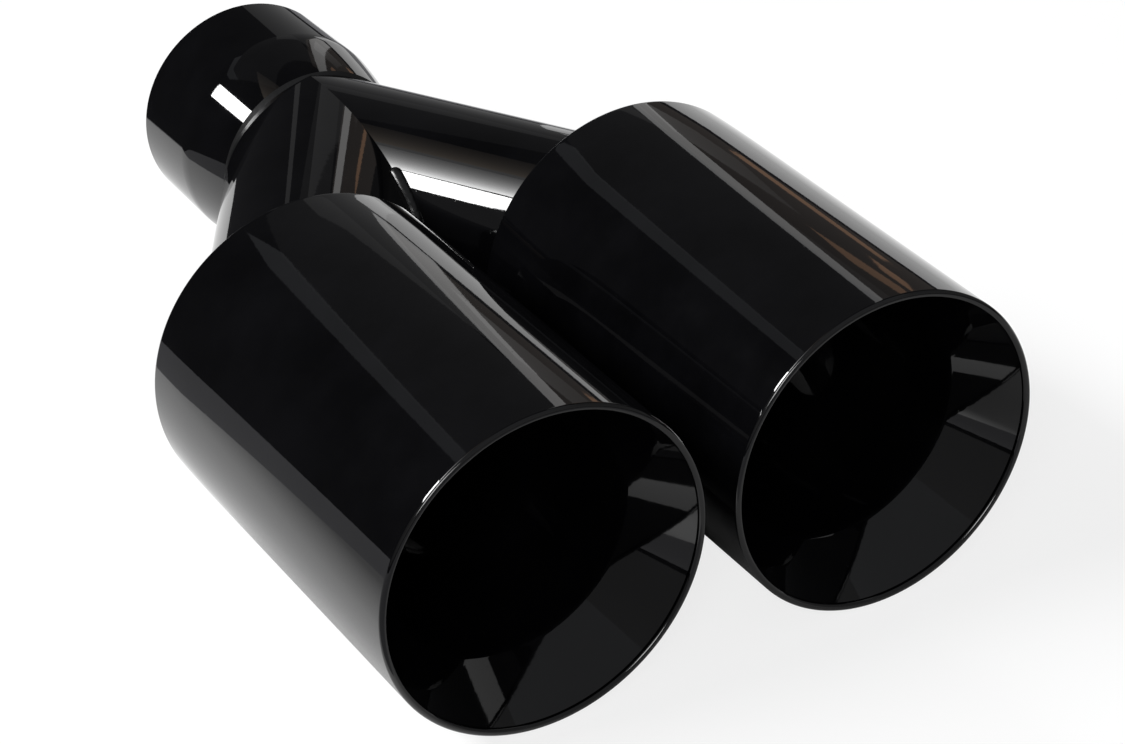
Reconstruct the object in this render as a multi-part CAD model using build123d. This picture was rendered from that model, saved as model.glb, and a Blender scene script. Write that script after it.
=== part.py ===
from build123d import *
import os
from math import atan2, cos, radians, sin, sqrt, tan

# Dual-outlet slip-on exhaust tip, welded up from tube and sheet. Millimetres.
# The origin is the middle of the inlet mouth. +Y leaves the inlet towards the car's
# own pipe, the outlets face -Y, and +Z is up. The right half is modelled and mirrored.

# Outlets: a double wall, closed at the back by a pressed cap.
OUTLET_DIAMETER = 90.0
OUTLET_GAP = 8.5
SHELL_LENGTH = 124.3
SHELL_WALL = 1.2
HEM_DEPTH = 3.0
CAP_WALL = 1.2
CAP_DEPTH = 8.0
CAP_CORNER_RADIUS = 1.5

# Liners: a flared inner tube from the hem to the cap.
LINER_BORE = 66.0
LINER_WALL = 1.0
LINER_FLARE_ANGLE = 30.0
LINER_BEND_RADIUS = 4.0
LINER_EDGE_CLEARANCE = 0.25

# Branch pipes: straight tubes mitred together on the mid-plane.
BRANCH_DIAMETER = 58.2
BRANCH_WALL = 1.5
BRANCH_ANGLE = 30.8

# Inlet collar: a sleeve, narrower at its mouth, swaged down to the branches in an S.
INLET_PIPE_DIAMETER = 63.0
INLET_CLEARANCE = 0.1
COLLAR_WALL = 0.8
MOUTH_TAPER = 0.3
SLEEVE_LENGTH = 25.6
SHOULDER_LENGTH = 21.0
NECK_LAP = 0.4
RIM_ROUND = 0.4

# Weld beads: a flush slope below the neck, and round beads elsewhere, by their radius
# before they meet their pieces.
COLLAR_BEAD_REACH = 2.0
COLLAR_BEAD_SLOPE = 35.0
CAP_BEAD_RADIUS = 1.5
CROTCH_BEAD_RADIUS = 2.0
CROTCH_BEAD_HALF_SPAN = 42.0

# Worked out from the sizes above.
angle = radians(BRANCH_ANGLE)
shell_radius = OUTLET_DIAMETER / 2
outlet_x = (OUTLET_DIAMETER + OUTLET_GAP) / 2
branch_radius = BRANCH_DIAMETER / 2
bore_radius = INLET_PIPE_DIAMETER / 2 + INLET_CLEARANCE
collar_radius = bore_radius + COLLAR_WALL
mouth_radius = collar_radius - MOUTH_TAPER
liner_radius = LINER_BORE / 2

# The branches' root is cut square where the joined pair is as wide as it is high,
# so a round neck fits it, standing proud by the lap that the weld fills.
root_setback = branch_radius * sin(angle) / (1 + cos(angle) ** 2)
root_radius = sqrt(branch_radius**2 - (root_setback * sin(angle)) ** 2)
neck_radius = root_radius + NECK_LAP

# Stations along Y, from the inlet mouth to the lips. The branch axes cross on the
# mid-plane and run to the middle of each cap.
shoulder_y = -SLEEVE_LENGTH
root_y = shoulder_y - SHOULDER_LENGTH
crossing_y = root_y - root_setback
cap_y = crossing_y - outlet_x / tan(angle)
lip_y = cap_y - SHELL_LENGTH
seam_y = cap_y - CAP_DEPTH
hem_y = lip_y + HEM_DEPTH

# The hem is as thick as the shell wall and the slanted liner edge that it covers.
flare = radians(LINER_FLARE_ANGLE)
hem_thickness = SHELL_WALL + LINER_EDGE_CLEARANCE + LINER_WALL / cos(flare)
hem_radius = shell_radius - hem_thickness
nose_radius = hem_thickness / 2


def lathe(outline, centre_x=0.0):
    """Turn a closed outline, with radius along X, about an axis along Y at centre_x."""
    return Pos(centre_x, 0, 0) * revolve(make_face(outline), Axis.Y)


def make_collar():
    """Slip-on sleeve with a swaged shoulder that closes in on the branch root.

    The shoulder is two arcs that meet half-way, tangent to the bore's line and to the neck.
    """
    middle = ((collar_radius + neck_radius) / 2, (shoulder_y + root_y) / 2)
    slope = 2 * atan2(collar_radius - neck_radius, SHOULDER_LENGTH)
    inner_middle = (middle[0] - COLLAR_WALL * cos(slope), middle[1] + COLLAR_WALL * sin(slope))
    inner_neck = neck_radius - COLLAR_WALL
    outline = [
        Line((mouth_radius, 0), (collar_radius, shoulder_y)),
        TangentArc((collar_radius, shoulder_y), middle, tangent=(0, -1)),
        TangentArc((neck_radius, root_y), middle, tangent=(0, 1)),
        Line((neck_radius, root_y), (inner_neck, root_y)),
        TangentArc((inner_neck, root_y), inner_middle, tangent=(0, 1)),
        TangentArc((bore_radius, shoulder_y), inner_middle, tangent=(0, -1)),
        Polyline((bore_radius, shoulder_y), (bore_radius, 0), (mouth_radius, 0)),
    ]
    collar = lathe(outline)
    rim = collar.edges().filter_by(GeomType.CIRCLE).group_by(Axis.Y)[-1].sort_by(SortBy.RADIUS)[-1]
    return fillet(rim, RIM_ROUND)


def branch_form(radius):
    """Round bar on the right branch axis, mitred and cut square at the root and the cap."""
    reach = 2 * (cap_y - root_y)
    axis_plane = Plane((0, crossing_y, 0), x_dir=(0, 0, 1), z_dir=(sin(angle), -cos(angle), 0))
    bar = axis_plane * Cylinder(radius, 2 * abs(reach))
    width = 2 * (outlet_x + shell_radius)
    side = Pos(width / 2, (cap_y + root_y) / 2, 0) * Box(width, root_y - cap_y, OUTLET_DIAMETER)
    return bar & side


def make_branch():
    """Right branch pipe."""
    return branch_form(branch_radius) - branch_form(branch_radius - BRANCH_WALL)


def make_shell():
    """Outer wall of an outlet, its front edge hemmed inwards with a half-round nose."""
    inside = shell_radius - SHELL_WALL
    nose_y = lip_y + nose_radius
    outline = [
        Polyline(
            (shell_radius, nose_y),
            (shell_radius, seam_y),
            (inside, seam_y),
            (inside, hem_y),
            (hem_radius, hem_y),
            (hem_radius, nose_y),
        ),
        ThreePointArc((hem_radius, nose_y), (hem_radius + nose_radius, lip_y), (shell_radius, nose_y)),
    ]
    return lathe(outline, outlet_x)


def make_liner():
    """Inner wall of an outlet: a flare behind the hem, bent into a straight tube to the cap."""
    front_edge = LINER_WALL / cos(flare)
    tube_outside = liner_radius + LINER_WALL
    end_y = cap_y - CAP_WALL
    inner_bend = (liner_radius, hem_y + (hem_radius - liner_radius) / tan(flare))
    outer_bend = (tube_outside, hem_y + (hem_radius + front_edge - tube_outside) / tan(flare))
    outline = make_face(
        Polyline(
            (hem_radius, hem_y),
            inner_bend,
            (liner_radius, end_y),
            (tube_outside, end_y),
            outer_bend,
            (hem_radius + front_edge, hem_y),
            (hem_radius, hem_y),
        )
    )
    inner_corner = outline.vertices().sort_by_distance((*inner_bend, 0))[0]
    outline = fillet(inner_corner, LINER_BEND_RADIUS + LINER_WALL)
    outer_corner = outline.vertices().sort_by_distance((*outer_bend, 0))[0]
    outline = fillet(outer_corner, LINER_BEND_RADIUS)
    return Pos(outlet_x, 0, 0) * revolve(outline, Axis.Y)


def make_cap():
    """Pressed rear cap with a rounded rim and an opening for the branch pipe."""
    inside = shell_radius - CAP_WALL
    flat_radius = shell_radius - CAP_CORNER_RADIUS
    corner_y = cap_y - CAP_CORNER_RADIUS
    inner_y = cap_y - CAP_WALL
    outline = [
        Line((0, cap_y), (flat_radius, cap_y)),
        TangentArc((flat_radius, cap_y), (shell_radius, corner_y), tangent=(1, 0)),
        Polyline((shell_radius, corner_y), (shell_radius, seam_y), (inside, seam_y), (inside, corner_y)),
        TangentArc((inside, corner_y), (flat_radius, inner_y), tangent=(0, 1)),
        Polyline((flat_radius, inner_y), (0, inner_y), (0, cap_y)),
    ]
    opening_radius = branch_radius - BRANCH_WALL
    opening = Plane((outlet_x, cap_y, 0), x_dir=(1, 0, 0), z_dir=(0, -1, 0)) * Ellipse(
        opening_radius / cos(angle), opening_radius
    )
    return lathe(outline, outlet_x) - extrude(opening, CAP_DEPTH, both=True)


def bead_along(path, radius):
    """Round bead along a path, before it is cut back to the pieces that it joins."""
    return sweep(Plane(path @ 0, z_dir=path % 0) * Circle(radius), path)


def make_cap_weld(branch_bar):
    """Bead round the right branch where it stands on the cap."""
    ring = Plane((outlet_x, cap_y, 0), x_dir=(1, 0, 0), z_dir=(0, -1, 0)) * Ellipse(
        branch_radius / cos(angle), branch_radius
    )
    bead = bead_along(ring.wire(), CAP_BEAD_RADIUS)
    cap_block = Pos(outlet_x, cap_y - CAP_DEPTH / 2, 0) * Box(OUTLET_DIAMETER, CAP_DEPTH, OUTLET_DIAMETER)
    return bead - branch_bar - cap_block


def make_crotch_weld(branch_bars):
    """Bead round the front of the fork, with a rounded end above and below."""
    mitre = Plane((0, crossing_y, 0), x_dir=(0, -1, 0), z_dir=(-1, 0, 0))
    arc = EllipticalCenterArc(
        (0, 0),
        branch_radius / sin(angle),
        branch_radius,
        start_angle=-CROTCH_BEAD_HALF_SPAN,
        arc_size=2 * CROTCH_BEAD_HALF_SPAN,
    )
    path = mitre * arc
    bead = bead_along(path, CROTCH_BEAD_RADIUS)
    for end in (path @ 0, path @ 1):
        bead += Pos(end) * Sphere(CROTCH_BEAD_RADIUS)
    return bead - branch_bars


def make_collar_weld(branch_bars):
    """Flush bead that slopes from the edge of the collar's neck down to the branches."""
    foot_radius = neck_radius - COLLAR_BEAD_REACH * tan(radians(COLLAR_BEAD_SLOPE))
    foot_y = root_y - COLLAR_BEAD_REACH
    neck_edge = (neck_radius, root_y)
    wedge = Polyline(neck_edge, (foot_radius, foot_y), (foot_radius, root_y), neck_edge)
    return lathe(wedge) - branch_bars


branch_bar = branch_form(branch_radius)
both_bars = [branch_bar, mirror(branch_bar, Plane.YZ)]

sided = {
    "branch_pipe": make_branch(),
    "outer_shell": make_shell(),
    "inner_liner": make_liner(),
    "rear_cap": make_cap(),
    "cap_weld": make_cap_weld(branch_bar),
}
pieces = {
    "inlet_collar": make_collar(),
    "collar_weld": make_collar_weld(both_bars),
    "crotch_weld": make_crotch_weld(both_bars),
}
for name, piece in sided.items():
    pieces[f"{name}_right"] = piece
    pieces[f"{name}_left"] = mirror(piece, Plane.YZ)

os.makedirs("parts", exist_ok=True)
for name, piece in pieces.items():
    export_step(piece, f"parts/{name}.step")
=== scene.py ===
"""Looks of a gloss-black dual exhaust tip: its surfaces, coat, light and camera. Metres, +Z up."""

import logging
from collections.abc import Sequence
from dataclasses import dataclass, field
from enum import Enum
from math import acos, atan2, cos, hypot, pi, radians, sin, sqrt, tan

import bpy
import numpy as np
from mathutils import Matrix, Vector


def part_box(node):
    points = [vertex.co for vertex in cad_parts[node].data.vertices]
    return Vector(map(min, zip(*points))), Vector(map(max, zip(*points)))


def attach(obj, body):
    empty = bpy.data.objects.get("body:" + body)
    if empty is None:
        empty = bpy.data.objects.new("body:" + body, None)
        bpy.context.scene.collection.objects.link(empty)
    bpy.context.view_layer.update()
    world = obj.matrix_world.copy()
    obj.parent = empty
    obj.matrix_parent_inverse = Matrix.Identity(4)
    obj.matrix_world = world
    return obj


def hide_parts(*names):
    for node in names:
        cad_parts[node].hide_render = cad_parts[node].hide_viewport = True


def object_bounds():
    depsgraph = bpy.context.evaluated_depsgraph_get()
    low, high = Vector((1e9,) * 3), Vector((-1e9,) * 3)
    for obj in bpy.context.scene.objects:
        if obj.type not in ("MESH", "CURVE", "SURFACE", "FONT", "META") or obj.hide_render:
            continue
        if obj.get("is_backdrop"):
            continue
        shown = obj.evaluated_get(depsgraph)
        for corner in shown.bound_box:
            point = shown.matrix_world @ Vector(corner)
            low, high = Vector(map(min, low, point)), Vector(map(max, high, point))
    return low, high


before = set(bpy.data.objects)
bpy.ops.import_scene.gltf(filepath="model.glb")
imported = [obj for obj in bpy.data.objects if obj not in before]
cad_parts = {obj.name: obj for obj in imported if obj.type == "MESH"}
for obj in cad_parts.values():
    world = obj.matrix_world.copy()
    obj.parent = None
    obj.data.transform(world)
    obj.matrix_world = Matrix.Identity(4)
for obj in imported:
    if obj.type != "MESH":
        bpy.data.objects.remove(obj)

LOG = logging.getLogger("exhaust_tip")
MM = 0.001
BODY = "root"
TURN_STEPS = 320
EDGE_STEPS = (0.0, 0.15 * MM, 0.6 * MM, 2.0 * MM)
SHARP_ANGLE = radians(32)
SEAT_TOLERANCE = 0.35 * MM
DOWN = (0.0, 0.0, -1.0)
WARM = (1.0, 0.86, 0.72)
OAK = (1.0, 0.55, 0.31)
CEILING_SPIN = radians(24.9)
BAR_SPIN = radians(31)
# Power of an area light, in watts, for each square metre and unit of radiance.
LAMP_POWER = 4.0


class Side(Enum):
    """Half of the tip, with its sign along X."""

    LEFT = -1
    RIGHT = 1

    @property
    def label(self) -> str:
        """Name of the side as the node names write it."""
        return self.name.lower()


class Slot(Enum):
    """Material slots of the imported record."""

    COAT = "gloss_black"
    WELD = "weld_black"


def straight(start: Sequence[float], end: Sequence[float]) -> np.ndarray:
    """Points on a straight run, close together at both ends so that shading bends only there.

    A point lies at start + t (end - start), for distances of 0, 0.15, 0.6 and 2 mm from each end.

    Args:
        start: First point of the run.
        end: Last point of the run, which is included.

    Returns:
        Array of points, one a row.
    """
    first, last = np.asarray(start, float), np.asarray(end, float)
    length = float(np.linalg.norm(last - first))
    near = np.array([step for step in EDGE_STEPS if step < 0.45 * length])
    share = np.unique(np.concatenate([near / length, 1.0 - near / length]))
    return first + share[:, None] * (last - first)


def arc(centre: Sequence[float], radius: float, start: float, end: float, steps: int) -> np.ndarray:
    """Points on a circular arc: centre + radius (cos a, sin a), with a from start to end.

    Args:
        centre: Middle of the circle.
        radius: Radius of the circle.
        start: First angle, in radians.
        end: Last angle, in radians.
        steps: Number of chords.

    Returns:
        Array of points, one a row.
    """
    a = np.linspace(start, end, steps + 1)
    return np.asarray(centre, float) + radius * np.stack([np.cos(a), np.sin(a)], axis=1)


def closed_outline(*runs: np.ndarray) -> np.ndarray:
    """Join runs of points into a closed outline, without the points that meet.

    Args:
        runs: Arrays of points that follow each other round the outline.

    Returns:
        Array of points, one a row, where the last joins the first.
    """
    points = np.vstack(runs)
    gap = np.linalg.norm(points - np.roll(points, -1, axis=0), axis=1)
    return points[gap > 0.002 * MM]


def lathe(outline: np.ndarray, centre_x: float, steps: int = TURN_STEPS) -> np.ndarray:
    """Turn an outline of (radius, y) about the line x = centre_x, z = 0.

    The point at turn t is (centre_x + radius cos t, y, radius sin t).

    Args:
        outline: Closed outline, one (radius, y) a row.
        centre_x: Place of the axis along X.
        steps: Number of steps in the full turn.

    Returns:
        Grid of points, outline along the first axis and turn along the second.
    """
    turn = np.linspace(0.0, 2.0 * pi, steps, endpoint=False)
    radius, y = outline[:, :1], outline[:, 1:]
    return np.stack(
        [centre_x + radius * np.cos(turn), y + 0.0 * turn, radius * np.sin(turn)], axis=-1
    )


def ring_faces(rows: int, columns: int, close_columns: bool = True) -> np.ndarray:
    """Quads over a grid whose first axis closes on itself.

    Args:
        rows: Points along the first axis.
        columns: Points along the second axis.
        close_columns: Whether the second axis closes on itself as well.

    Returns:
        Array of four point numbers a row.
    """
    i = np.arange(rows)[:, None]
    j = np.arange(columns if close_columns else columns - 1)[None, :]
    down, across = (i + 1) % rows, (j + 1) % columns
    corners = (i * columns + j, down * columns + j, down * columns + across, i * columns + across)
    return np.stack([np.broadcast_to(c, np.broadcast_shapes(i.shape, j.shape)) for c in corners], -1).reshape(-1, 4)


def pole_faces(rows: int, columns: int, column: int, pole: int) -> np.ndarray:
    """Triangles that close one end column of a grid on a pole point.

    Args:
        rows: Points along the first axis.
        columns: Points along the second axis.
        column: Column to close, 0 or the last.
        pole: Number of the pole point.

    Returns:
        Array of three point numbers a row, wound to match the grid's quads.
    """
    i = np.arange(rows)
    here, after = i * columns + column, ((i + 1) % rows) * columns + column
    apex = np.full(rows, pole)
    return np.stack([after, here, apex] if column == 0 else [here, after, apex], axis=1)


def enclosed_volume(points: np.ndarray, faces: Sequence[np.ndarray]) -> float:
    """Volume within a closed mesh, as the sum of a . (b x c) / 6 over its triangles.

    Args:
        points: Points of the mesh.
        faces: Arrays of faces, each with three or four point numbers a row.

    Returns:
        Volume, negative where the faces point inwards.
    """
    total = 0.0
    for block in faces:
        for last in range(2, block.shape[1]):
            a, b, c = points[block[:, 0]], points[block[:, last - 1]], points[block[:, last]]
            total += float(np.einsum("ij,ij->i", a, np.cross(b, c)).sum()) / 6.0
    return total


def make_piece(name: str, grid: np.ndarray, poles: Sequence[Sequence[float]] = ()) -> bpy.types.Object:
    """Make a closed mesh object from a grid whose first axis closes on itself.

    Args:
        name: Name of the object.
        grid: Grid of points. Without poles its second axis closes on itself as well.
        poles: Two end points that close the first and last columns.

    Returns:
        The object, at the origin, smooth shaded with its true edges sharp and its faces outwards.
    """
    rows, columns = grid.shape[:2]
    points = grid.reshape(-1, 3)
    faces = [ring_faces(rows, columns, close_columns=not poles)]
    if poles:
        faces.append(pole_faces(rows, columns, 0, len(points)))
        faces.append(pole_faces(rows, columns, columns - 1, len(points) + 1))
        points = np.vstack([points, np.asarray(poles, float)])
    if enclosed_volume(points, faces) < 0:
        faces = [block[:, ::-1] for block in faces]
    mesh = bpy.data.meshes.new(name)
    mesh.from_pydata(points.tolist(), [], [face for block in faces for face in block.tolist()])
    mesh.polygons.foreach_set("use_smooth", np.ones(len(mesh.polygons), bool))
    mesh.set_sharp_from_angle(angle=SHARP_ANGLE)
    mesh.update()
    piece = bpy.data.objects.new(name, mesh)
    bpy.context.scene.collection.objects.link(piece)
    return piece


def seat(piece: bpy.types.Object, node: str, coat: bpy.types.Material) -> None:
    """Put a coated piece in the place of its CAD node, and test that it fills the same box.

    Args:
        piece: The piece, already in place.
        node: CAD node that the piece stands for.
        coat: Material of the piece.
    """
    piece.data.materials.append(coat)
    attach(piece, BODY)
    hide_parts(node)
    low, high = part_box(node)
    points = np.empty(len(piece.data.vertices) * 3, np.float32)
    piece.data.vertices.foreach_get("co", points)
    points = points.reshape(-1, 3)
    miss = max(np.abs(points.min(0) - low).max(), np.abs(points.max(0) - high).max())
    LOG.info("%s: %d faces, %.3f mm from its node's box", piece.name, len(piece.data.polygons), miss / MM)
    if miss > SEAT_TOLERANCE:
        raise ValueError(f"{piece.name} is {miss / MM:.2f} mm from the box of {node}")


class NodeTree:
    """Short way to add and join shader nodes."""

    def __init__(self, tree: bpy.types.NodeTree) -> None:
        """Empty a node tree.

        Args:
            tree: Tree of a material or of the world.
        """
        self.tree = tree
        tree.nodes.clear()

    def add(self, kind: str, settings: dict | None = None, **inputs: object) -> bpy.types.Node:
        """Add a node.

        Args:
            kind: Blender's type name of the node, without its ShaderNode prefix.
            settings: Properties of the node.
            inputs: Values or output sockets for its inputs, named with _ for a space.

        Returns:
            The node.
        """
        node = self.tree.nodes.new(f"ShaderNode{kind}")
        for key, value in (settings or {}).items():
            setattr(node, key, value)
        for key, value in inputs.items():
            socket = node.inputs[key.replace("_", " ")]
            if isinstance(value, bpy.types.NodeSocket):
                self.tree.links.new(value, socket)
            else:
                socket.default_value = value
        return node

    def math(self, operation: str, first: object, second: object = 0.0) -> bpy.types.NodeSocket:
        """Add a Math node and give its output socket.

        Args:
            operation: Name of the operation.
            first: First value or socket.
            second: Second value or socket.

        Returns:
            Output socket of the node.
        """
        node = self.add("Math", {"operation": operation})
        for socket, value in zip(node.inputs, (first, second)):
            if isinstance(value, bpy.types.NodeSocket):
                self.tree.links.new(value, socket)
            else:
                socket.default_value = value
        return node.outputs[0]

    def ramp(
        self, value: bpy.types.NodeSocket, span: tuple[float, float], ends: tuple[object, object] = (0.0, 1.0)
    ) -> bpy.types.NodeSocket:
        """Add a Map Range node, whose result is even outside its span.

        Args:
            value: Socket with the value.
            span: Values between which the result changes.
            ends: Results at the two ends of the span, as values or sockets.

        Returns:
            Output socket of the node.
        """
        node = self.add("MapRange", Value=value, From_Min=span[0], From_Max=span[1], To_Min=ends[0], To_Max=ends[1])
        return node.outputs["Result"]


@dataclass(frozen=True)
class BlackCoat:
    """Sprayed gloss-black coat: faint blotches, a slight orange peel and fine dust nibs."""

    name: str
    dark: tuple[float, float, float] = (0.0008, 0.0008, 0.0010)
    light: tuple[float, float, float] = (0.0018, 0.0018, 0.0022)
    smoothest: float = 0.025
    dullest: float = 0.045
    refraction: float = 1.55
    blotch_size: float = 24 * MM
    peel_size: float = 2.6 * MM
    peel_height: float = 0.004 * MM
    nib_size: float = 0.9 * MM
    nib_height: float = 0.003 * MM
    colour_span: tuple[float, float] = (0.35, 0.70)
    gloss_span: tuple[float, float] = (0.30, 0.75)
    nib_span: tuple[float, float] = (0.74, 0.82)

    def build(self) -> bpy.types.Material:
        """Make the material.

        Returns:
            Material that reads Object coordinates.
        """
        material = bpy.data.materials.new(self.name)
        material.use_nodes = True
        nodes = NodeTree(material.node_tree)
        place = nodes.add("TexCoord").outputs["Object"]
        blotch = nodes.add("TexNoise", Vector=place, Scale=1 / self.blotch_size, Detail=4.0, Roughness=0.6)
        colour = nodes.add("ValToRGB", Fac=blotch.outputs["Fac"])
        colour.color_ramp.elements[0].position = self.colour_span[0]
        colour.color_ramp.elements[0].color = (*self.dark, 1.0)
        colour.color_ramp.elements[1].position = self.colour_span[1]
        colour.color_ramp.elements[1].color = (*self.light, 1.0)
        gloss = nodes.add(
            "MapRange",
            {"interpolation_type": "SMOOTHSTEP"},
            Value=blotch.outputs["Fac"],
            From_Min=self.gloss_span[0],
            From_Max=self.gloss_span[1],
            To_Min=self.smoothest,
            To_Max=self.dullest,
        )
        peel = nodes.add("TexNoise", Vector=place, Scale=1 / self.peel_size, Detail=2.0, Roughness=0.45)
        speck = nodes.add("TexNoise", Vector=place, Scale=1 / self.nib_size, Detail=1.0)
        nib = nodes.add(
            "MapRange",
            {"interpolation_type": "SMOOTHSTEP"},
            Value=speck.outputs["Fac"],
            From_Min=self.nib_span[0],
            From_Max=self.nib_span[1],
        )
        rise = nodes.math(
            "ADD",
            nodes.math("MULTIPLY", peel.outputs["Fac"], self.peel_height / MM),
            nodes.math("MULTIPLY", nib.outputs["Result"], self.nib_height / MM),
        )
        bump = nodes.add("Bump", Strength=1.0, Distance=MM, Height=rise)
        shader = nodes.add(
            "BsdfPrincipled",
            Base_Color=colour.outputs["Color"],
            Roughness=gloss.outputs["Result"],
            IOR=self.refraction,
            Normal=bump.outputs["Normal"],
        )
        nodes.add("OutputMaterial", Surface=shader.outputs["BSDF"])
        return material


@dataclass(frozen=True)
class Fork:
    """Sizes that the collar, the branches and the caps share: two tubes mitred on the mid-plane."""

    branch_radius: float = 29.1 * MM
    branch_wall: float = 1.5 * MM
    branch_angle: float = radians(30.8)
    outlet_x: float = 49.25 * MM
    root_y: float = -46.6 * MM
    neck_lap: float = 0.4 * MM

    @property
    def root_setback(self) -> float:
        """How far the axes cross behind the square cut at the root."""
        return self.branch_radius * sin(self.branch_angle) / (1 + cos(self.branch_angle) ** 2)

    @property
    def root_radius(self) -> float:
        """Half the height, and half the width, of the joined pair at its root."""
        return sqrt(self.branch_radius**2 - (self.root_setback * sin(self.branch_angle)) ** 2)

    @property
    def neck_radius(self) -> float:
        """Outside of the collar's neck, which stands proud of the root by the lap that the weld fills."""
        return self.root_radius + self.neck_lap

    @property
    def crossing_y(self) -> float:
        """Where the branch axes cross."""
        return self.root_y - self.root_setback

    @property
    def cap_y(self) -> float:
        """Where the branch axes reach the middle of the caps."""
        return self.crossing_y - self.outlet_x / tan(self.branch_angle)

    def from_neck(self, turn: np.ndarray, outward: float, back: float) -> np.ndarray:
        """Way from the neck's front edge to the branches, at each turn about the inlet's axis.

        A point at the way w is on a branch where (x cos a + (y - crossing) sin a)^2 + z^2 = radius^2,
        with the radius neck + w outward and the place root + w back. This is a quadratic in w.

        Args:
            turn: Turns about the inlet's axis, 0 along X.
            outward: Step away from the axis for each step of the way.
            back: Step along Y for each step of the way.

        Returns:
            The nearer root at each turn.
        """
        a, level, rise = self.branch_angle, np.abs(np.cos(turn)), np.sin(turn)
        across = self.neck_radius * level * cos(a) + self.root_setback * sin(a)
        across_step = outward * level * cos(a) + back * sin(a)
        high, high_step = self.neck_radius * rise, outward * rise
        square = across_step**2 + high_step**2
        mixed = across * across_step + high * high_step
        rest = across**2 + high**2 - self.branch_radius**2
        return (-mixed - np.sqrt(mixed**2 - square * rest)) / square


@dataclass
class InletCollar:
    """Slip-on sleeve, a little narrower at its mouth, with a full, round shoulder that ends at the branch root."""

    fork: Fork
    bore_radius: float = 31.6 * MM
    wall: float = 0.8 * MM
    mouth_taper: float = 0.3 * MM
    sleeve_length: float = 25.6 * MM
    shoulder_bend: float = 31.5 * MM
    shoulder_turn: float = 0.13
    rim_round: float = 0.4 * MM
    near_steps: int = 12
    far_steps: int = 28
    rim_steps: int = 8

    def shoulder(self, offset: float) -> np.ndarray:
        """Two convex arcs, tangent to the bore's line and to each other, that end at the neck, moved in.

        The second arc turns on to twice the angle of its chord less the turn of the first.

        Args:
            offset: Distance inside the outer face.

        Returns:
            Points of (radius, y) from the sleeve to the neck.
        """
        first, turn, neck = self.shoulder_bend, self.shoulder_turn, self.fork.neck_radius
        centre = (self.bore_radius + self.wall - first, -self.sleeve_length)
        join = (centre[0] + first * cos(turn), centre[1] - first * sin(turn))
        fall, run = join[0] - neck, join[1] - self.fork.root_y
        chord = atan2(fall, run)
        second, last = hypot(fall, run) / (2 * sin(chord - turn)), 2 * chord - turn
        near = arc(centre, first - offset, 0.0, -turn, self.near_steps)
        far_centre = (join[0] - second * cos(turn), join[1] + second * sin(turn))
        far = arc(far_centre, second - offset, -turn, -last, self.far_steps)
        far[-1] = (neck - offset / cos(last), self.fork.root_y)
        return np.vstack([near, far[1:]])

    def outline(self) -> np.ndarray:
        """Section of the wall: sleeve, shoulder and neck, and the same inside.

        Returns:
            Closed outline of (radius, y).
        """
        mouth = self.bore_radius + self.wall - self.mouth_taper
        outer, inner = self.shoulder(0.0), self.shoulder(self.wall)[::-1]
        edge = (mouth - self.rim_round, -self.rim_round)
        return closed_outline(
            straight((mouth, -self.rim_round), outer[0]),
            outer,
            straight(outer[-1], inner[0]),
            inner,
            straight(inner[-1], (self.bore_radius, 0.0)),
            straight((self.bore_radius, 0.0), (edge[0], 0.0)),
            arc(edge, self.rim_round, pi / 2, 0.0, self.rim_steps),
        )

    def build(self, coat: bpy.types.Material) -> None:
        """Make the collar and seat it.

        Args:
            coat: Coat of the collar.
        """
        seat(make_piece("coated_inlet_collar", lathe(self.outline(), 0.0)), "inlet_collar", coat)


@dataclass
class BranchPipe:
    """Straight tube of the fork, mitred on the mid-plane and cut square at the root and the cap."""

    fork: Fork
    side: Side

    def turns(self) -> np.ndarray:
        """Angles round the tube, with the angles where the mitre gives way to the root cut.

        Returns:
            Sorted angles, in radians, 0 away from the mid-plane.
        """
        fork = self.fork
        even = np.linspace(-pi, pi, TURN_STEPS, endpoint=False)
        reach = fork.root_setback * sin(fork.branch_angle)
        corners = [acos(reach / radius) for radius in (fork.branch_radius, fork.branch_radius - fork.branch_wall)]
        return np.unique(np.concatenate([even, corners, np.negative(corners)]))

    def wall(self, radius: float, turn: np.ndarray, share: np.ndarray) -> np.ndarray:
        """Points on the tube at one radius, between its two cut ends.

        A point is crossing + s d + radius (cos t e + sin t z), with d the axis and e level across it.
        It starts at the larger s of the mitre, x = 0, and the root, y = root_y, and ends at y = cap_y.

        Args:
            radius: Radius of the surface.
            turn: Angles t round the tube.
            share: Shares of the way from the start to the end.

        Returns:
            Grid of points, share along the first axis and turn along the second.
        """
        fork, a = self.fork, self.fork.branch_angle
        across = radius * np.cos(turn)
        mitre = -across * cos(a) / sin(a)
        root = (fork.crossing_y - fork.root_y + across * sin(a)) / cos(a)
        start = np.maximum(mitre, root)
        end = (fork.crossing_y - fork.cap_y + across * sin(a)) / cos(a)
        along = start + share[:, None] * (end - start)
        x = along * sin(a) + across * cos(a)
        y = fork.crossing_y - along * cos(a) + across * sin(a)
        return np.stack([self.side.value * x, y, np.broadcast_to(radius * np.sin(turn), x.shape)], axis=-1)

    def build(self, coat: bpy.types.Material) -> None:
        """Make the tube and seat it.

        Args:
            coat: Coat of the tube.
        """
        turn = self.turns()
        share = np.concatenate([[0.0, 0.004, 0.02], np.linspace(0.06, 0.94, 12), [0.98, 0.996, 1.0]])
        outer = self.wall(self.fork.branch_radius, turn, share)
        inner = self.wall(self.fork.branch_radius - self.fork.branch_wall, turn, share[::-1])
        piece = make_piece(f"coated_branch_pipe_{self.side.label}", np.vstack([outer, inner]))
        seat(piece, f"branch_pipe_{self.side.label}", coat)


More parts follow.
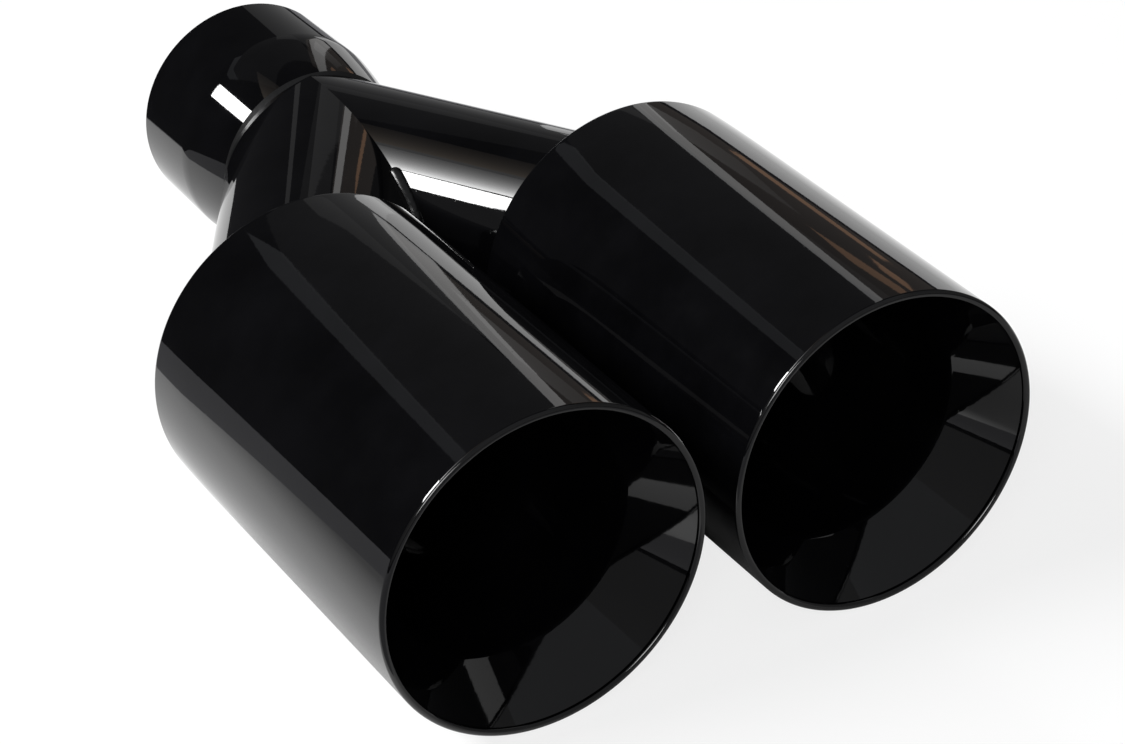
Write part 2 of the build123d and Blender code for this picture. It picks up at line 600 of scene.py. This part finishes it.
@dataclass
class Outlet:
    """Double-wall outlet: a hemmed shell, a flared liner and a pressed rear cap."""

    fork: Fork
    side: Side
    radius: float = 45.0 * MM
    length: float = 124.3 * MM
    shell_wall: float = 1.2 * MM
    hem_depth: float = 3.0 * MM
    lip_round: float = 1.0 * MM
    cap_wall: float = 1.2 * MM
    cap_depth: float = 8.0 * MM
    cap_corner: float = 1.5 * MM
    liner_radius: float = 33.0 * MM
    liner_wall: float = 1.0 * MM
    liner_clearance: float = 0.25 * MM
    flare: float = radians(30)
    liner_bend: float = 4.0 * MM
    ease_length: float = 22.0 * MM
    ease_depth: float = 0.34 * MM
    lip_steps: int = 32
    bend_steps: int = 14
    ease_steps: int = 14
    cap_side_steps: int = 8
    cap_corner_steps: tuple[int, int] = (14, 10)
    cap_flat_shares: tuple[float, ...] = (0.0, 0.02, 0.1, 0.5, 0.9, 0.98)

    @property
    def centre_x(self) -> float:
        """Place of the outlet's axis along X."""
        return self.side.value * self.fork.outlet_x

    @property
    def seam_y(self) -> float:
        """Where the shell meets the cap."""
        return self.fork.cap_y - self.cap_depth

    @property
    def lip_y(self) -> float:
        """Front of the lip."""
        return self.fork.cap_y - self.length

    @property
    def hem_y(self) -> float:
        """Back of the hem, where the liner starts."""
        return self.lip_y + self.hem_depth

    @property
    def hem_radius(self) -> float:
        """Inside of the hem, which covers the shell wall and the slanted edge of the liner."""
        return self.radius - self.shell_wall - self.liner_clearance - self.liner_wall / cos(self.flare)

    def side_run(self, start_y: float, end_y: float, steps: int) -> np.ndarray:
        """Outside of the shell and the cap, eased in towards the rear where it was dressed back.

        The radius falls by the square of the way into the last stretch before the rear.

        Args:
            start_y: First place along Y.
            end_y: Last place along Y.
            steps: Number of steps.

        Returns:
            Points of (radius, y).
        """
        y = np.linspace(start_y, end_y, steps + 1)
        way = np.clip((y - self.fork.cap_y) / self.ease_length + 1.0, 0.0, 1.0)
        return np.stack([self.radius - self.ease_depth * way**2, y], axis=1)

    def shell_outline(self) -> np.ndarray:
        """Section of the shell, whose lip is rolled in by an arc until it meets the line of the flare.

        The arc's middle is (hem width - r) cos flare + (r - hem depth) sin flare off that line.

        Returns:
            Closed outline of (radius, y).
        """
        nose, width = self.lip_round, self.radius - self.hem_radius
        nose_y, inside = self.lip_y + nose, self.radius - self.shell_wall
        off_line = (width - nose) * cos(self.flare) + (nose - self.hem_depth) * sin(self.flare)
        end = self.flare - pi - acos(off_line / nose)
        lip = arc((self.radius - nose, nose_y), nose, 0.0, end, self.lip_steps)
        eased = self.side_run(self.seam_y, self.fork.cap_y - self.ease_length, self.ease_steps)
        return closed_outline(
            eased,
            straight(eased[-1], (self.radius, nose_y)),
            lip,
            straight(lip[-1], (self.hem_radius, self.hem_y)),
            straight((self.hem_radius, self.hem_y), (inside, self.hem_y)),
            straight((inside, self.hem_y), (inside, self.seam_y)),
            straight((inside, self.seam_y), eased[0]),
        )

    def liner_outline(self) -> np.ndarray:
        """Section of the liner: a cone from the hem, bent by an arc into a straight tube to the cap.

        Returns:
            Closed outline of (radius, y).
        """
        edge, end_y = self.liner_wall / cos(self.flare), self.fork.cap_y - self.cap_wall
        bend = self.liner_bend + self.liner_wall
        corner_y = self.hem_y + (self.hem_radius - self.liner_radius) / tan(self.flare)
        centre = (self.liner_radius + bend, corner_y + bend * tan(self.flare / 2))
        inner = arc(centre, bend, pi + self.flare, pi, self.bend_steps)
        outer = arc(centre, self.liner_bend, pi, pi + self.flare, self.bend_steps)
        tube = self.liner_radius + self.liner_wall
        return closed_outline(
            straight((self.hem_radius, self.hem_y), inner[0]),
            inner,
            straight(inner[-1], (self.liner_radius, end_y)),
            straight((self.liner_radius, end_y), (tube, end_y)),
            straight((tube, end_y), outer[0]),
            outer,
            straight(outer[-1], (self.hem_radius + edge, self.hem_y)),
            straight((self.hem_radius + edge, self.hem_y), (self.hem_radius, self.hem_y)),
        )

    def cap_grid(self) -> np.ndarray:
        """Cap with an opening for the branch, as radius and y at each turn.

        The flat runs from the opening's ellipse, radius a b / hypot(b cos t, a sin t), to the round corner.

        Returns:
            Grid of points, section along the first axis and turn along the second.
        """
        turn = np.linspace(0.0, 2.0 * pi, TURN_STEPS, endpoint=False)
        cap_y, inner_y = self.fork.cap_y, self.fork.cap_y - self.cap_wall
        corner_y = cap_y - self.cap_corner
        side = self.side_run(corner_y, self.seam_y, self.cap_side_steps)
        flat = float(side[0, 0]) - self.cap_corner
        low = self.fork.branch_radius - self.fork.branch_wall
        wide = low / cos(self.fork.branch_angle)
        opening = wide * low / np.hypot(low * np.cos(turn), wide * np.sin(turn))
        outer_steps, inner_steps = self.cap_corner_steps
        rim = closed_outline(
            arc((flat, corner_y), self.cap_corner, pi / 2, 0.0, outer_steps),
            side,
            straight(side[-1], side[-1] - (self.cap_wall, 0.0)),
            straight(side[-1] - (self.cap_wall, 0.0), side[0] - (self.cap_wall, 0.0)),
            arc((flat, corner_y), self.cap_corner - self.cap_wall, 0.0, pi / 2, inner_steps),
        )
        share = np.array(self.cap_flat_shares)[:, None]
        outer = opening + share * (flat - opening)
        inner = outer[::-1]
        level = np.ones_like(opening)
        radius = np.vstack([outer, rim[:, :1] * level, inner])
        y = np.vstack([cap_y + 0 * outer, rim[:, 1:] * level, inner_y + 0 * inner])
        return np.stack([self.centre_x + radius * np.cos(turn), y, radius * np.sin(turn)], axis=-1)

    def build(self, coat: bpy.types.Material) -> None:
        """Make the shell, the liner and the cap, and seat them.

        Args:
            coat: Coat of the outlet.
        """
        grids = {
            "outer_shell": lathe(self.shell_outline(), self.centre_x),
            "inner_liner": lathe(self.liner_outline(), self.centre_x),
            "rear_cap": self.cap_grid(),
        }
        for name, grid in grids.items():
            node = f"{name}_{self.side.label}"
            seat(make_piece(f"coated_{node}", grid), node, coat)


@dataclass
class WeldBeads:
    """Rippled beads at the collar, round the front of the fork and where the branches stand on the caps."""

    fork: Fork
    collar_slope: float = radians(35)
    cap_bead: float = 1.5 * MM
    crotch_bead: float = 2.0 * MM
    crotch_half_span: float = radians(42)
    ripple_pitch: float = 2.6 * MM
    ripple_depth: float = 0.05
    section_steps: int = 14
    crotch_steps: int = 240
    crotch_end_steps: int = 11
    table_steps: int = 2000
    table_overrun: float = 1.25

    def ripple(self, path: np.ndarray, across: np.ndarray) -> np.ndarray:
        """Share of the bead's radius that is left by its ripples.

        Each ripple is a shallow scallop, |cos| of the way along in half pitches, bowed back at the toes.
        The pitch is eased so that a ring holds a whole number of ripples.

        Args:
            path: Points along the bead.
            across: Place across the bead, from -1 at one toe to 1 at the other.

        Returns:
            Grid of shares, across along the first axis and path along the second.
        """
        step = np.linalg.norm(np.roll(path, -1, axis=0) - path, axis=1)
        count = np.round(step.sum() / self.ripple_pitch)
        way = (np.cumsum(step) - step) / step.sum() * count
        scallop = np.sqrt(np.abs(np.cos(pi * (way - 0.5 * across[:, None] ** 2))))
        return 1.0 - self.ripple_depth * (1.0 - scallop) * (1.0 - across[:, None] ** 4)

    def bead(
        self,
        path: np.ndarray,
        first: np.ndarray,
        second: np.ndarray,
        span: tuple[np.ndarray, np.ndarray],
        radius: np.ndarray,
    ) -> np.ndarray:
        """Sector of a circle carried along a path, its curved face rippled.

        A point is path + radius (cos b first + sin b second), with b across the span, and the path closes it.

        Args:
            path: Points of the path.
            first: Unit direction of b = 0 at each point.
            second: Unit direction of b = 90 degrees at each point.
            span: Lowest and highest b at each point.
            radius: Radius of the bead at each point.

        Returns:
            Grid of points, section along the first axis and path along the second.
        """
        across = np.linspace(-1.0, 1.0, self.section_steps + 1)
        b = span[0] + (across[:, None] + 1) / 2 * (span[1] - span[0])
        reach = radius * self.ripple(path, across)
        face = path + (reach * np.cos(b))[..., None] * first + (reach * np.sin(b))[..., None] * second
        return np.vstack([path[None], face])

    def collar_grid(self) -> np.ndarray:
        """Flush slope from the edge of the collar's neck to the branches, closed along the root cut.

        At the share k of its way w the slope is at radius neck - k w sin(slope) and y = root - k w cos(slope).

        Returns:
            Grid of points of the bead.
        """
        fork, fall, run = self.fork, sin(self.collar_slope), cos(self.collar_slope)
        turn = np.linspace(0.0, 2 * pi, 2 * TURN_STEPS, endpoint=False)
        edge = fork.neck_radius * np.stack([np.cos(turn), 0 * turn, np.sin(turn)], axis=1)
        across = np.linspace(-1.0, 1.0, self.section_steps // 2 + 1)
        way = (across[:, None] + 1) / 2 * fork.from_neck(turn, -fall, -run)
        dip = (1.0 - self.ripple(edge, across)) * fork.neck_lap
        corner = fork.neck_radius - fork.from_neck(turn, -1.0, 0.0)
        radius = np.vstack([corner, fork.neck_radius - way * fall - dip * run])
        y = fork.root_y - np.vstack([0 * turn, way * run - dip * fall])
        return np.stack([radius * np.cos(turn), y, radius * np.sin(turn)], axis=-1)

    def cap_grid(self, side: Side) -> np.ndarray:
        """Ring where a branch stands on its cap, an ellipse, filled from the cap to the branch.

        Args:
            side: Side of the branch.

        Returns:
            Grid of points of the bead.
        """
        fork, a = self.fork, self.fork.branch_angle
        turn = np.linspace(0.0, 2 * pi, 2 * TURN_STEPS, endpoint=False)
        wide, high = fork.branch_radius / cos(a), fork.branch_radius
        path = np.stack(
            [side.value * fork.outlet_x + wide * np.cos(turn), fork.cap_y + 0 * turn, high * np.sin(turn)], axis=1
        )
        out = np.stack([high * np.cos(turn), 0 * turn, wide * np.sin(turn)], axis=1)
        out /= np.linalg.norm(out, axis=1, keepdims=True)
        up = np.broadcast_to([0.0, 1.0, 0.0], path.shape)
        lean = out @ np.array([-side.value * sin(a), cos(a), 0.0])
        span = (np.zeros_like(turn), np.arctan2(cos(a), lean))
        return self.bead(path, out, up, span, np.full_like(turn, self.cap_bead))

    def crotch_grid(self) -> tuple[np.ndarray, np.ndarray]:
        """Bead on the mitre's ellipse round the front of the fork, with round ends.

        Returns:
            Grid of points of the bead, and its two end points.
        """
        fork, a = self.fork, self.fork.branch_angle
        long_axis, short_axis = fork.branch_radius / sin(a), fork.branch_radius
        fine = np.linspace(-self.table_overrun, self.table_overrun, self.table_steps + 1) * self.crotch_half_span
        step = np.hypot(long_axis * np.sin(fine), short_axis * np.cos(fine)) * (fine[1] - fine[0])
        way = np.cumsum(step) - np.cumsum(step)[self.table_steps // 2]
        half = float(np.interp(self.crotch_half_span, fine, way))
        end = np.sin(np.linspace(0.0, pi / 2, self.crotch_end_steps + 1)) * self.crotch_bead
        run = np.linspace(-half, half, self.crotch_steps + 1)
        along = np.concatenate([-half - end[:0:-1], run, half + end[1:]])
        t = np.interp(along, way, fine)
        taper = np.sqrt(np.clip(1 - (np.clip(np.abs(along) - half, 0, None) / self.crotch_bead) ** 2, 0, 1))
        path = np.stack([0 * t, fork.crossing_y - long_axis * np.cos(t), short_axis * np.sin(t)], axis=1)
        out = np.stack([0 * t, -short_axis * np.cos(t), long_axis * np.sin(t)], axis=1)
        out /= np.linalg.norm(out, axis=1, keepdims=True)
        level = np.broadcast_to([1.0, 0.0, 0.0], path.shape)
        open_angle = np.arctan2(sin(a), -out[:, 1] * cos(a))
        grid = self.bead(path, out, level, (-open_angle, open_angle), self.crotch_bead * taper)
        return grid[:, 1:-1], path[[0, -1]]

    def build(self, coat: bpy.types.Material) -> None:
        """Make the beads and seat them.

        Args:
            coat: Coat over the beads.
        """
        seat(make_piece("rippled_collar_weld", self.collar_grid()), "collar_weld", coat)
        grid, ends = self.crotch_grid()
        seat(make_piece("rippled_crotch_weld", grid, ends.tolist()), "crotch_weld", coat)
        for side in Side:
            node = f"cap_weld_{side.label}"
            seat(make_piece(f"rippled_{node}", self.cap_grid(side)), node, coat)


@dataclass(frozen=True)
class Panel:
    """Flat studio panel that lights the tip and is mirrored in it, even or fading along its width."""

    name: str
    centre: tuple[float, float, float]
    width: float
    height: float
    radiance: float
    facing: tuple[float, float, float] = (0.0, -1.0, 0.0)
    tint: tuple[float, float, float] = (1.0, 1.0, 1.0)
    spin: float = 0.0
    fade: float = 1.0

    def place(self) -> None:
        """Hang the panel, its width level and its height upwards before it is spun about its middle.

        At the share x of its width its radiance is the written one times fade to the power of x.
        """
        light = bpy.data.lights.new(self.name, "AREA")
        light.shape = "RECTANGLE"
        light.size, light.size_y = self.width, self.height
        light.energy = LAMP_POWER * self.width * self.height * self.radiance
        light.color = self.tint
        if self.fade != 1.0:
            light.use_nodes = True
            nodes = NodeTree(light.node_tree)
            place = nodes.add("SeparateXYZ", Vector=nodes.add("NewGeometry").outputs["Parametric"])
            glow = nodes.add("Emission", Strength=nodes.math("POWER", self.fade, place.outputs["X"]))
            nodes.add("OutputLight", Surface=glow.outputs[0])
        panel = bpy.data.objects.new(self.name, light)
        turned = Vector(self.facing).to_track_quat("-Z", "Y").to_matrix().to_4x4()
        panel.matrix_world = Matrix.Translation(self.centre) @ turned @ Matrix.Rotation(self.spin, 4, "Z")
        panel.visible_camera = False
        bpy.context.scene.collection.objects.link(panel)


@dataclass
class Studio:
    """White sheet on a grey table in a dim room: a long softbox on the left, a front lamp and panels around."""

    heading: float = radians(30.5)
    sheet_middle: tuple[float, float] = (0.0, -0.150)
    sheet_corners: tuple[tuple[float, float], ...] = (
        (-0.250, -0.170),
        (0.420, -0.170),
        (0.420, 1.187),
        (0.060, 0.975),
        (0.060, 0.340),
        (-0.224, 0.340),
        (-0.205, 0.015),
        (-0.241, -0.060),
    )
    table_corners: tuple[tuple[float, float], ...] = (
        (-0.750, -0.620),
        (0.620, -0.620),
        (0.620, 0.620),
        (-0.220, 0.620),
        (-0.220, 0.149),
        (-0.750, 0.036),
    )
    sheet_lift: float = 0.4 * MM
    sheet_glow: float = 0.80
    paper: tuple[float, float, float] = (0.9, 0.9, 0.9)
    table: tuple[float, float, float] = (0.22, 0.22, 0.23)
    # Painted shade in the sheet's glow, in reflections only: darker where ambient occlusion finds pieces close by,
    # near and between them.
    shade_reach: float = 70 * MM
    shade_samples: int = 6
    shade_range: tuple[float, float] = (0.22, 0.46)
    # Painted shade in reflections: the sheet's glow falls towards its front left corner.
    painted_shade_slant: float = 0.85
    painted_shade_corner_span: tuple[float, float] = (-0.270, -0.175)
    painted_shade_corner_level: float = 0.22
    # Painted fall-off of light: to the camera and in reflections the glow is dimmer far from the sheet's middle.
    painted_falloff_span: tuple[float, float] = (0.42, 0.70)
    painted_falloff_level: float = 0.85
    # Painted shadow in reflections: the glow falls in front of the outlets, on the side away from the softbox, where
    # the tip's shadow lies.
    painted_shadow_right: tuple[float, float] = (-0.015, 0.030)
    painted_shadow_ahead: tuple[float, float] = (0.0, 0.08)
    painted_shadow_depth: float = 0.68
    room: tuple[float, float, float] = (0.030, 0.030, 0.032)
    panels: list[Panel] = field(
        default_factory=lambda: [
            Panel("long_softbox", (-2.52, 1.42, 2.35), 2.85, 0.80, 24.0, facing=(0.731, 0.0, -0.682)),
            Panel("softbox_glow", (-1.415, 0.657, 2.2), 1.00, 0.80, 14.0, DOWN, spin=CEILING_SPIN, fade=0.055),
            Panel("ceiling_gap", (-0.905, 0.893, 2.2), 0.12, 0.80, 0.48, DOWN, spin=CEILING_SPIN),
            Panel("warm_ceiling", (-0.515, 1.073, 2.2), 0.74, 0.80, 0.50, DOWN, WARM, CEILING_SPIN, fade=0.14),
            Panel("white_card", (1.10, 0.66, 0.0275), 1.10, 0.255, 0.68),
            Panel("white_post", (0.4745, 0.45, 0.47), 0.064, 0.66, 0.60, spin=radians(4.5)),
            Panel("brown_board", (0.86, 0.67, 0.50), 0.52, 0.60, 0.07, tint=(1.0, 0.85, 0.75)),
            Panel("grey_patch", (0.71, 0.66, 0.39), 0.15, 0.16, 0.05, fade=3.5),
            Panel("oak_upright", (0.815, 0.66, 0.580), 0.12, 0.08, 0.34, tint=OAK),
            Panel("oak_edge", (0.905, 0.66, 0.452), 0.040, 0.08, 0.42, tint=OAK, spin=radians(-15)),
            Panel("oak_rail", (0.875, 0.66, 0.268), 0.16, 0.06, 0.36, tint=OAK, spin=radians(-23)),
            Panel("grey_wall", (0.46, 0.65, 0.2275), 0.545, 0.27, 0.20, spin=radians(90), fade=0.3),
            Panel("grey_slat", (0.155, 0.65, 0.24), 0.03, 0.30, 0.10),
            Panel("ceiling_bar", (-0.45, 1.20, 1.21), 0.75, 0.16, 0.12, tint=(0.92, 0.95, 1.0), spin=BAR_SPIN),
            Panel("back_ceiling", (0.227, 1.22, 1.36), 1.8, 0.8, 0.03, spin=BAR_SPIN),
            Panel("left_wall", (-2.0, -1.10, 1.1), 2.90, 2.2, 0.08, facing=(1.0, 0.0, 0.0), fade=2.4),
            Panel("right_wall", (2.0, -1.15, 1.1), 2.90, 2.2, 0.16, facing=(-1.0, 0.0, 0.0), fade=0.6),
            Panel("front_lamp", (-0.70, -1.10, 0.66), 0.42, 0.55, 6.5, facing=(0.524, 0.649, -0.552)),
            Panel("front_wall", (0.0, -2.6, 1.1), 4.0, 2.2, 0.18, facing=(0.0, 1.0, 0.0)),
            Panel("middle_ceiling", (0.6, 0.35, 2.2), 0.70, 2.4, 0.18, DOWN, spin=radians(90), fade=0.15),
            Panel("front_ceiling", (0.0, -1.3, 2.2), 4.0, 2.6, 0.18, DOWN, tint=(0.95, 0.97, 1.0)),
        ]
    )

    def run(self, nodes: NodeTree, place: bpy.types.NodeSocket, way: Vector) -> bpy.types.NodeSocket:
        """Distance from the sheet's middle along a direction.

        Args:
            nodes: Tree that the nodes are added to.
            place: Place on the sheet.
            way: Direction, with its length as a factor.

        Returns:
            Socket that gives the distance.
        """
        dot = nodes.add("VectorMath", {"operation": "DOT_PRODUCT"})
        nodes.tree.links.new(place, dot.inputs[0])
        dot.inputs[1].default_value = way
        return nodes.math("SUBTRACT", dot.outputs["Value"], Vector((*self.sheet_middle, 0.0)).dot(way))

    def floor_material(self) -> bpy.types.Material:
        """White sheet that shows white to the camera and in the coat, and keeps the tip's shadow.

        In the coat its glow carries painted shade: darker near and between the pieces, from ambient occlusion, and
        towards its front left corner, where pieces hem it in, and a painted shadow in front of the outlets, on the
        side away from the softbox. To the camera and in the coat the glow also has a painted fall-off, dimmer far
        from its middle.

        Returns:
            Material of the sheet.
        """
        material = bpy.data.materials.new("white_sheet")
        material.use_nodes = True
        nodes = NodeTree(material.node_tree)
        path = nodes.add("LightPath").outputs
        seen = nodes.math(
            "MAXIMUM",
            nodes.math("MAXIMUM", path["Is Camera Ray"], path["Is Glossy Ray"]),
            path["Is Transmission Ray"],
        )
        place = nodes.add("TexCoord").outputs["Object"]
        right_way = Vector((cos(self.heading), -sin(self.heading), 0.0))
        ahead_way = Vector((sin(self.heading), cos(self.heading), 0.0))
        right = self.run(nodes, place, right_way)
        ahead = self.run(nodes, place, ahead_way)
        # Painted shade towards the sheet's front left corner, for glossy rays only.
        slant = self.run(nodes, place, right_way + self.painted_shade_slant * ahead_way)
        corner = nodes.ramp(slant, self.painted_shade_corner_span, (self.painted_shade_corner_level, 1.0))
        # Painted shade: ambient occlusion darkens the glow near and between the pieces, for glossy rays only.
        sky = nodes.add("AmbientOcclusion", {"samples": self.shade_samples}, Distance=self.shade_reach).outputs["AO"]
        # Painted shadow of the tip in front of the outlets, on the side away from the softbox, for glossy rays only.
        cast = nodes.math(
            "MULTIPLY",
            nodes.ramp(right, self.painted_shadow_right, (0.0, self.painted_shadow_depth)),
            nodes.ramp(ahead, self.painted_shadow_ahead, (1.0, 0.0)),
        )
        # Share of the glow left by the painted shade and the painted shadow.
        lit = nodes.math("MULTIPLY", nodes.ramp(sky, self.shade_range), nodes.math("SUBTRACT", 1.0, cast))
        lit = nodes.math("MULTIPLY", lit, corner)
        # Painted fall-off of light: the glow is dimmer far from the sheet's middle.
        reach = nodes.add("VectorMath", {"operation": "DISTANCE"})
        nodes.tree.links.new(place, reach.inputs[0])
        reach.inputs[1].default_value = (*self.sheet_middle, 0.0)
        far = nodes.ramp(reach.outputs["Value"], self.painted_falloff_span, (1.0, self.painted_falloff_level))
        # The painted shade and shadow act on glossy rays only; the painted fall-off acts on camera rays too.
        shade = nodes.ramp(path["Is Glossy Ray"], (0.0, 1.0), (1.0, lit))
        level = nodes.math("MULTIPLY", far, shade)
        paper = nodes.add("BsdfDiffuse", Color=(*self.paper, 1.0))
        white = nodes.add("Emission", Color=(1.0, 1.0, 1.0, 1.0), Strength=level)
        mixed = nodes.add("MixShader", Fac=nodes.math("MULTIPLY", seen, self.sheet_glow))
        nodes.tree.links.new(paper.outputs[0], mixed.inputs[1])
        nodes.tree.links.new(white.outputs[0], mixed.inputs[2])
        nodes.add("OutputMaterial", Surface=mixed.outputs[0])
        return material

    def table_material(self) -> bpy.types.Material:
        """Plain grey table under the sheet.

        Returns:
            Material of the table.
        """
        material = bpy.data.materials.new("grey_table")
        material.use_nodes = True
        nodes = NodeTree(material.node_tree)
        grey = nodes.add("BsdfDiffuse", Color=(*self.table, 1.0))
        nodes.add("OutputMaterial", Surface=grey.outputs[0])
        return material

    def slab(self, name: str, corners: Sequence[tuple[float, float]], z: float, material: bpy.types.Material) -> None:
        """Lay a flat stage sheet whose corners are set along the camera's heading.

        Args:
            name: Name of the sheet.
            corners: Corners as (to the right, ahead) of the sheet's middle.
            z: Height of the sheet.
            material: Material of the sheet.
        """
        right = np.array([cos(self.heading), -sin(self.heading)])
        ahead = np.array([sin(self.heading), cos(self.heading)])
        flat = np.asarray(corners) @ np.stack([right, ahead]) + np.asarray(self.sheet_middle)
        mesh = bpy.data.meshes.new(name)
        mesh.from_pydata([(x, y, z) for x, y in flat.tolist()], [], [tuple(range(len(flat)))])
        mesh.materials.append(material)
        sheet = bpy.data.objects.new(name, mesh)
        bpy.context.scene.collection.objects.link(sheet)
        sheet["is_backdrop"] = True

    def build(self, floor_z: float) -> None:
        """Lay the floor, hang the panels and set the room.

        Args:
            floor_z: Height that the tip stands at.
        """
        self.slab("white_sheet", self.sheet_corners, floor_z, self.floor_material())
        self.slab("grey_table", self.table_corners, floor_z - self.sheet_lift, self.table_material())
        for panel in self.panels:
            panel.place()
        world = bpy.data.worlds.new("dim_room")
        world.use_nodes = True
        nodes = NodeTree(world.node_tree)
        room = nodes.add("Background", Color=(*self.room, 1.0), Strength=1.0)
        nodes.add("OutputWorld", Surface=room.outputs[0])
        bpy.context.scene.world = world


@dataclass(frozen=True)
class PhotoCamera:
    """Camera at the photograph's viewing angle, for an image of 1125 by 744 pixels."""

    place: tuple[float, float, float] = (-0.37984, -0.83231, 0.45480)
    azimuth: float = radians(-30.468)
    elevation: float = radians(31.189)
    roll: float = radians(-0.90)
    focal_pixels: float = 3374.6
    image_width: float = 1125.0
    sensor_width: float = 36.0

    def build(self) -> None:
        """Make the camera, its back along (sin az cos el, -cos az cos el, sin el), turned by the roll."""
        data = bpy.data.cameras.new("photo_camera")
        data.sensor_width = self.sensor_width
        data.lens = self.focal_pixels / self.image_width * self.sensor_width
        data.clip_start, data.clip_end = 0.01, 50.0
        level = cos(self.elevation)
        back = Vector((sin(self.azimuth) * level, -cos(self.azimuth) * level, sin(self.elevation)))
        right = Vector((0.0, 0.0, 1.0)).cross(back).normalized()
        up = back.cross(right)
        turned_right = cos(self.roll) * right + sin(self.roll) * up
        turned_up = cos(self.roll) * up - sin(self.roll) * right
        axes = Matrix((turned_right, turned_up, back)).transposed()
        camera = bpy.data.objects.new("photo_camera", data)
        camera.matrix_world = Matrix.Translation(self.place) @ axes.to_4x4()
        bpy.context.scene.collection.objects.link(camera)
        bpy.context.scene.camera = camera


def main() -> None:
    logging.basicConfig(level=logging.INFO, format="%(name)s: %(message)s")
    scene = bpy.context.scene
    scene.view_settings.view_transform = "Standard"
    cad_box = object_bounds()
    coat = BlackCoat("gloss_black_coat").build()
    weld_coat = BlackCoat("weld_black_coat", smoothest=0.26, dullest=0.42, peel_height=0.006 * MM).build()
    fork = Fork()
    InletCollar(fork).build(coat)
    for side in Side:
        BranchPipe(fork, side).build(coat)
        Outlet(fork, side).build(coat)
    WeldBeads(fork).build(weld_coat)
    Studio().build(floor_z=float(cad_box[0][2]))
    PhotoCamera().build()


if __name__ == "__main__":
    main()
